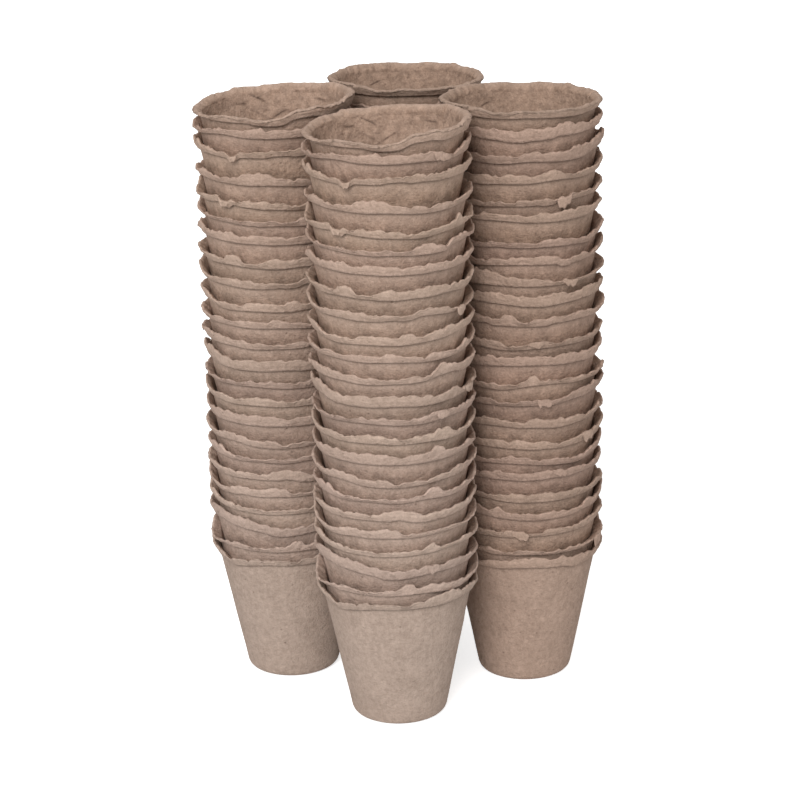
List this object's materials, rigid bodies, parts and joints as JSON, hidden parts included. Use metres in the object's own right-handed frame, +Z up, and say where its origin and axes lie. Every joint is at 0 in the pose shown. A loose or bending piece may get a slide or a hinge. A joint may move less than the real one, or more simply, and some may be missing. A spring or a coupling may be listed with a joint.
{
  "type": "nested moulded fibre plant pots",
  "caption": "Tall stacks of nested round moulded-fibre seedling pots, tapered, with flared uneven collars; the pots lift off one another.",
  "frame": {"origin": "middle of the four stacks, on the surface that they stand on", "axes": "+Z up along the nesting direction, +X from the front stack to the right stack, +Y from the front stack to the left stack, both within 3 degrees"},
  "size_m": [0.1675, 0.167, 0.3024],
  "materials": {
    "fibre_light": "rough moulded peat and wood fibre, pale grey-brown, matt",
    "fibre_warm": "rough moulded peat and wood fibre, slightly darker and redder, matt"
  },
  "bodies": {
    "bottom_pots": {"front_pots_01_02": "fibre_light", "left_pots_01_02": "fibre_light", "right_pots_01_02": "fibre_warm", "back_pots_01_02": "fibre_warm"},
    "front_pots_03_04": {"front_pots_03_04": "fibre_light"},
    "front_pots_05_06": {"front_pots_05_06": "fibre_light"},
    "front_pots_07_08": {"front_pots_07_08": "fibre_light"},
    "front_pots_09_10": {"front_pots_09_10": "fibre_light"},
    "front_pots_11_12": {"front_pots_11_12": "fibre_light"},
    "front_pots_13_14": {"front_pots_13_14": "fibre_light"},
    "front_pots_15_16": {"front_pots_15_16": "fibre_light"},
    "front_pots_17_18": {"front_pots_17_18": "fibre_light"},
    "front_pot_19": {"front_pot_19": "fibre_light"},
    "front_pot_20": {"front_pot_20": "fibre_light"},
    "front_pot_21": {"front_pot_21": "fibre_light"},
    "front_pot_22": {"front_pot_22": "fibre_light"},
    "front_pot_23": {"front_pot_23": "fibre_light"},
    "front_pot_24": {"front_pot_24": "fibre_light"},
    "left_pots_03_04": {"left_pots_03_04": "fibre_light"},
    "left_pots_05_06": {"left_pots_05_06": "fibre_light"},
    "left_pots_07_08": {"left_pots_07_08": "fibre_light"},
    "left_pots_09_10": {"left_pots_09_10": "fibre_light"},
    "left_pots_11_12": {"left_pots_11_12": "fibre_light"},
    "left_pots_13_14": {"left_pots_13_14": "fibre_light"},
    "left_pots_15_16": {"left_pots_15_16": "fibre_light"},
    "left_pots_17_18": {"left_pots_17_18": "fibre_light"},
    "left_pot_19": {"left_pot_19": "fibre_light"},
    "left_pot_20": {"left_pot_20": "fibre_light"},
    "left_pot_21": {"left_pot_21": "fibre_light"},
    "left_pot_22": {"left_pot_22": "fibre_light"},
    "left_pot_23": {"left_pot_23": "fibre_light"},
    "left_pot_24": {"left_pot_24": "fibre_light"},
    "right_pots_03_04": {"right_pots_03_04": "fibre_warm"},
    "right_pots_05_06": {"right_pots_05_06": "fibre_warm"},
    "right_pots_07_08": {"right_pots_07_08": "fibre_warm"},
    "right_pots_09_10": {"right_pots_09_10": "fibre_warm"},
    "right_pots_11_12": {"right_pots_11_12": "fibre_warm"},
    "right_pots_13_14": {"right_pots_13_14": "fibre_warm"},
    "right_pots_15_16": {"right_pots_15_16": "fibre_warm"},
    "right_pots_17_18": {"right_pots_17_18": "fibre_warm"},
    "right_pot_19": {"right_pot_19": "fibre_warm"},
    "right_pot_20": {"right_pot_20": "fibre_warm"},
    "right_pot_21": {"right_pot_21": "fibre_warm"},
    "right_pot_22": {"right_pot_22": "fibre_warm"},
    "right_pot_23": {"right_pot_23": "fibre_warm"},
    "right_pot_24": {"right_pot_24": "fibre_warm"},
    "back_pots_03_04": {"back_pots_03_04": "fibre_warm"},
    "back_pots_05_06": {"back_pots_05_06": "fibre_warm"},
    "back_pots_07_08": {"back_pots_07_08": "fibre_warm"},
    "back_pots_09_10": {"back_pots_09_10": "fibre_warm"},
    "back_pots_11_12": {"back_pots_11_12": "fibre_warm"},
    "back_pots_13_14": {"back_pots_13_14": "fibre_warm"},
    "back_pots_15_16": {"back_pots_15_16": "fibre_warm"},
    "back_pots_17_18": {"back_pots_17_18": "fibre_warm"},
    "back_pot_19": {"back_pot_19": "fibre_warm"},
    "back_pot_20": {"back_pot_20": "fibre_warm"},
    "back_pot_21": {"back_pot_21": "fibre_warm"},
    "back_pot_22": {"back_pot_22": "fibre_warm"},
    "back_pot_23": {"back_pot_23": "fibre_warm"},
    "back_pot_24": {"back_pot_24": "fibre_warm"}
  },
  "joints": [
    {"name": "front_lift_03", "type": "slide", "parent": "bottom_pots", "child": "front_pots_03_04", "axis": [0, 0, 1], "range_m": [0, 0.075]},
    {"name": "front_lift_05", "type": "slide", "parent": "front_pots_03_04", "child": "front_pots_05_06", "axis": [0, 0, 1], "range_m": [0, 0.075]},
    {"name": "front_lift_07", "type": "slide", "parent": "front_pots_05_06", "child": "front_pots_07_08", "axis": [0, 0, 1], "range_m": [0, 0.075]},
    {"name": "front_lift_09", "type": "slide", "parent": "front_pots_07_08", "child": "front_pots_09_10", "axis": [0, 0, 1], "range_m": [0, 0.075]},
    {"name": "front_lift_11", "type": "slide", "parent": "front_pots_09_10", "child": "front_pots_11_12", "axis": [0, 0, 1], "range_m": [0, 0.075]},
    {"name": "front_lift_13", "type": "slide", "parent": "front_pots_11_12", "child": "front_pots_13_14", "axis": [0, 0, 1], "range_m": [0, 0.075]},
    {"name": "front_lift_15", "type": "slide", "parent": "front_pots_13_14", "child": "front_pots_15_16", "axis": [0, 0, 1], "range_m": [0, 0.075]},
    {"name": "front_lift_17", "type": "slide", "parent": "front_pots_15_16", "child": "front_pots_17_18", "axis": [0, 0, 1], "range_m": [0, 0.075]},
    {"name": "front_lift_19", "type": "slide", "parent": "front_pots_17_18", "child": "front_pot_19", "axis": [0, 0, 1], "range_m": [0, 0.075]},
    {"name": "front_lift_20", "type": "slide", "parent": "front_pot_19", "child": "front_pot_20", "axis": [0, 0, 1], "range_m": [0, 0.075]},
    {"name": "front_lift_21", "type": "slide", "parent": "front_pot_20", "child": "front_pot_21", "axis": [0, 0, 1], "range_m": [0, 0.075]},
    {"name": "front_lift_22", "type": "slide", "parent": "front_pot_21", "child": "front_pot_22", "axis": [0, 0, 1], "range_m": [0, 0.075]},
    {"name": "front_lift_23", "type": "slide", "parent": "front_pot_22", "child": "front_pot_23", "axis": [0, 0, 1], "range_m": [0, 0.075]},
    {"name": "front_lift_24", "type": "slide", "parent": "front_pot_23", "child": "front_pot_24", "axis": [0, 0, 1], "range_m": [0, 0.075]},
    {"name": "left_lift_03", "type": "slide", "parent": "bottom_pots", "child": "left_pots_03_04", "axis": [0, 0, 1], "range_m": [0, 0.075]},
    {"name": "left_lift_05", "type": "slide", "parent": "left_pots_03_04", "child": "left_pots_05_06", "axis": [0, 0, 1], "range_m": [0, 0.075]},
    {"name": "left_lift_07", "type": "slide", "parent": "left_pots_05_06", "child": "left_pots_07_08", "axis": [0, 0, 1], "range_m": [0, 0.075]},
    {"name": "left_lift_09", "type": "slide", "parent": "left_pots_07_08", "child": "left_pots_09_10", "axis": [0, 0, 1], "range_m": [0, 0.075]},
    {"name": "left_lift_11", "type": "slide", "parent": "left_pots_09_10", "child": "left_pots_11_12", "axis": [0, 0, 1], "range_m": [0, 0.075]},
    {"name": "left_lift_13", "type": "slide", "parent": "left_pots_11_12", "child": "left_pots_13_14", "axis": [0, 0, 1], "range_m": [0, 0.075]},
    {"name": "left_lift_15", "type": "slide", "parent": "left_pots_13_14", "child": "left_pots_15_16", "axis": [0, 0, 1], "range_m": [0, 0.075]},
    {"name": "left_lift_17", "type": "slide", "parent": "left_pots_15_16", "child": "left_pots_17_18", "axis": [0, 0, 1], "range_m": [0, 0.075]},
    {"name": "left_lift_19", "type": "slide", "parent": "left_pots_17_18", "child": "left_pot_19", "axis": [0, 0, 1], "range_m": [0, 0.075]},
    {"name": "left_lift_20", "type": "slide", "parent": "left_pot_19", "child": "left_pot_20", "axis": [0, 0, 1], "range_m": [0, 0.075]},
    {"name": "left_lift_21", "type": "slide", "parent": "left_pot_20", "child": "left_pot_21", "axis": [0, 0, 1], "range_m": [0, 0.075]},
    {"name": "left_lift_22", "type": "slide", "parent": "left_pot_21", "child": "left_pot_22", "axis": [0, 0, 1], "range_m": [0, 0.075]},
    {"name": "left_lift_23", "type": "slide", "parent": "left_pot_22", "child": "left_pot_23", "axis": [0, 0, 1], "range_m": [0, 0.075]},
    {"name": "left_lift_24", "type": "slide", "parent": "left_pot_23", "child": "left_pot_24", "axis": [0, 0, 1], "range_m": [0, 0.075]},
    {"name": "right_lift_03", "type": "slide", "parent": "bottom_pots", "child": "right_pots_03_04", "axis": [0, 0, 1], "range_m": [0, 0.075]},
    {"name": "right_lift_05", "type": "slide", "parent": "right_pots_03_04", "child": "right_pots_05_06", "axis": [0, 0, 1], "range_m": [0, 0.075]},
    {"name": "right_lift_07", "type": "slide", "parent": "right_pots_05_06", "child": "right_pots_07_08", "axis": [0, 0, 1], "range_m": [0, 0.075]},
    {"name": "right_lift_09", "type": "slide", "parent": "right_pots_07_08", "child": "right_pots_09_10", "axis": [0, 0, 1], "range_m": [0, 0.075]},
    {"name": "right_lift_11", "type": "slide", "parent": "right_pots_09_10", "child": "right_pots_11_12", "axis": [0, 0, 1], "range_m": [0, 0.075]},
    {"name": "right_lift_13", "type": "slide", "parent": "right_pots_11_12", "child": "right_pots_13_14", "axis": [0, 0, 1], "range_m": [0, 0.075]},
    {"name": "right_lift_15", "type": "slide", "parent": "right_pots_13_14", "child": "right_pots_15_16", "axis": [0, 0, 1], "range_m": [0, 0.075]},
    {"name": "right_lift_17", "type": "slide", "parent": "right_pots_15_16", "child": "right_pots_17_18", "axis": [0, 0, 1], "range_m": [0, 0.075]},
    {"name": "right_lift_19", "type": "slide", "parent": "right_pots_17_18", "child": "right_pot_19", "axis": [0, 0, 1], "range_m": [0, 0.075]},
    {"name": "right_lift_20", "type": "slide", "parent": "right_pot_19", "child": "right_pot_20", "axis": [0, 0, 1], "range_m": [0, 0.075]},
    {"name": "right_lift_21", "type": "slide", "parent": "right_pot_20", "child": "right_pot_21", "axis": [0, 0, 1], "range_m": [0, 0.075]},
    {"name": "right_lift_22", "type": "slide", "parent": "right_pot_21", "child": "right_pot_22", "axis": [0, 0, 1], "range_m": [0, 0.075]},
    {"name": "right_lift_23", "type": "slide", "parent": "right_pot_22", "child": "right_pot_23", "axis": [0, 0, 1], "range_m": [0, 0.075]},
    {"name": "right_lift_24", "type": "slide", "parent": "right_pot_23", "child": "right_pot_24", "axis": [0, 0, 1], "range_m": [0, 0.075]},
    {"name": "back_lift_03", "type": "slide", "parent": "bottom_pots", "child": "back_pots_03_04", "axis": [0, 0, 1], "range_m": [0, 0.075]},
    {"name": "back_lift_05", "type": "slide", "parent": "back_pots_03_04", "child": "back_pots_05_06", "axis": [0, 0, 1], "range_m": [0, 0.075]},
    {"name": "back_lift_07", "type": "slide", "parent": "back_pots_05_06", "child": "back_pots_07_08", "axis": [0, 0, 1], "range_m": [0, 0.075]},
    {"name": "back_lift_09", "type": "slide", "parent": "back_pots_07_08", "child": "back_pots_09_10", "axis": [0, 0, 1], "range_m": [0, 0.075]},
    {"name": "back_lift_11", "type": "slide", "parent": "back_pots_09_10", "child": "back_pots_11_12", "axis": [0, 0, 1], "range_m": [0, 0.075]},
    {"name": "back_lift_13", "type": "slide", "parent": "back_pots_11_12", "child": "back_pots_13_14", "axis": [0, 0, 1], "range_m": [0, 0.075]},
    {"name": "back_lift_15", "type": "slide", "parent": "back_pots_13_14", "child": "back_pots_15_16", "axis": [0, 0, 1], "range_m": [0, 0.075]},
    {"name": "back_lift_17", "type": "slide", "parent": "back_pots_15_16", "child": "back_pots_17_18", "axis": [0, 0, 1], "range_m": [0, 0.075]},
    {"name": "back_lift_19", "type": "slide", "parent": "back_pots_17_18", "child": "back_pot_19", "axis": [0, 0, 1], "range_m": [0, 0.075]},
    {"name": "back_lift_20", "type": "slide", "parent": "back_pot_19", "child": "back_pot_20", "axis": [0, 0, 1], "range_m": [0, 0.075]},
    {"name": "back_lift_21", "type": "slide", "parent": "back_pot_20", "child": "back_pot_21", "axis": [0, 0, 1], "range_m": [0, 0.075]},
    {"name": "back_lift_22", "type": "slide", "parent": "back_pot_21", "child": "back_pot_22", "axis": [0, 0, 1], "range_m": [0, 0.075]},
    {"name": "back_lift_23", "type": "slide", "parent": "back_pot_22", "child": "back_pot_23", "axis": [0, 0, 1], "range_m": [0, 0.075]},
    {"name": "back_lift_24", "type": "slide", "parent": "back_pot_23", "child": "back_pot_24", "axis": [0, 0, 1], "range_m": [0, 0.075]}
  ]
}
